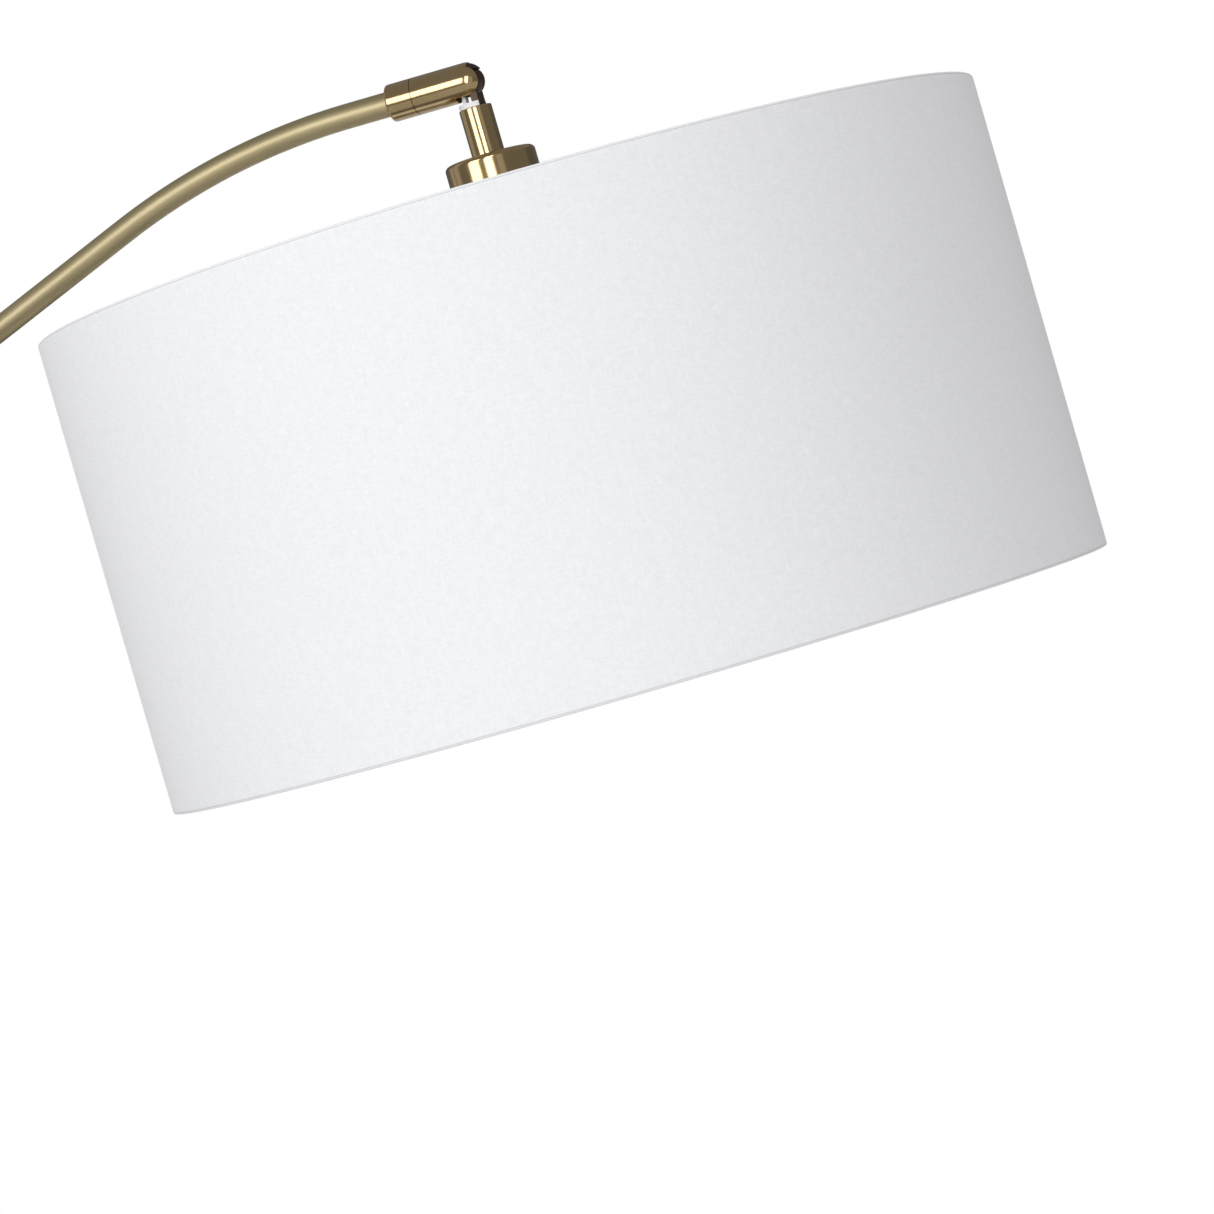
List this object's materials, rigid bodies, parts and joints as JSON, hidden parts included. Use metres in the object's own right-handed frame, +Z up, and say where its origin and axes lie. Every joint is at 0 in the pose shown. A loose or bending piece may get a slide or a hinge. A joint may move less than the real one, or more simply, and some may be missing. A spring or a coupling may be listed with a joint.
{
  "type": "arc floor lamp",
  "caption": "Arc floor lamp with a weighted round base, brass pole and bent arm, and a wide white drum shade on a swivelling, tilting knuckle.",
  "frame": {"origin": "on the floor at the middle of the base's underside, on the pole's axis", "axes": "+Z up along the pole, +X the way the arm reaches, Y across"},
  "size_m": [1.2249, 0.457, 1.7774],
  "materials": {
    "satin_brass": "brushed, lacquered, antique tone",
    "base_iron": "rough cast, painted",
    "base_felt": "black needle felt",
    "zinc_steel": "zinc plated",
    "black_rubber": "moulded",
    "white_nylon": "moulded",
    "lead_jacket": "clear over white",
    "shade_linen": "plain weave linen look",
    "shade_styrene": "satin white sheet",
    "shade_wire": "white powder coat",
    "socket_phenolic": "moulded",
    "socket_brass": "bright stamped",
    "bulb_glass": "frosted white inside",
    "bulb_aluminium": "drawn"
  },
  "bodies": {
    "stand": {"base_pad": "base_felt", "base_weight": "base_iron", "base_cover": "satin_brass", "cord_bush": "black_rubber", "base_washer": "zinc_steel", "base_nut": "zinc_steel", "base_nipple": "zinc_steel", "foot_collar": "satin_brass", "lower_pole": "satin_brass", "pole_joiner": "satin_brass", "upper_pole": "satin_brass", "arm_ferrule": "satin_brass", "arm_set_screw": "zinc_steel", "arc_tube": "satin_brass", "arm_lead": "lead_jacket", "arm_collar": "satin_brass", "swivel_bolt": "zinc_steel", "swivel_washer": "zinc_steel"},
    "knuckle": {"knuckle_barrel": "satin_brass", "tilt_washers": "white_nylon", "pivot_screw": "zinc_steel", "barrel_lead": "lead_jacket", "knuckle_leads": "lead_jacket"},
    "head": {"head_stem": "satin_brass", "wire_bush": "white_nylon", "socket_cup": "satin_brass", "cup_nut": "zinc_steel", "socket_cap": "socket_phenolic", "socket_sleeve": "socket_phenolic", "socket_core": "socket_phenolic", "terminal_screws": "socket_brass", "screw_shell": "socket_brass", "centre_contact": "socket_brass", "bulb_cap": "bulb_aluminium", "bulb_globe": "bulb_glass", "shade_fabric": "shade_linen", "shade_liner": "shade_styrene", "shade_spider": "shade_wire", "shade_low_ring": "shade_wire", "shade_ring": "socket_phenolic", "socket_leads": "lead_jacket"},
    "switch": {"switch_shaft": "zinc_steel", "switch_knob": "socket_phenolic"}
  },
  "joints": [
    {"name": "head_swivel", "type": "hinge", "parent": "stand", "child": "knuckle", "pos_m": [0.754, 0, 1.76145], "axis": [0.9655, 0, 0.2605], "range_deg": [-165, 165]},
    {"name": "head_tilt", "type": "hinge", "parent": "knuckle", "child": "head", "pos_m": [0.77963, 0, 1.76837], "axis": [0, -1, 0], "range_deg": [-5, 80], "deforming": ["knuckle_leads"]},
    {"name": "switch_turn", "type": "hinge", "parent": "head", "child": "switch", "pos_m": [0.80631, -0.021, 1.68001], "axis": [0, -1, 0], "continuous": true}
  ]
}
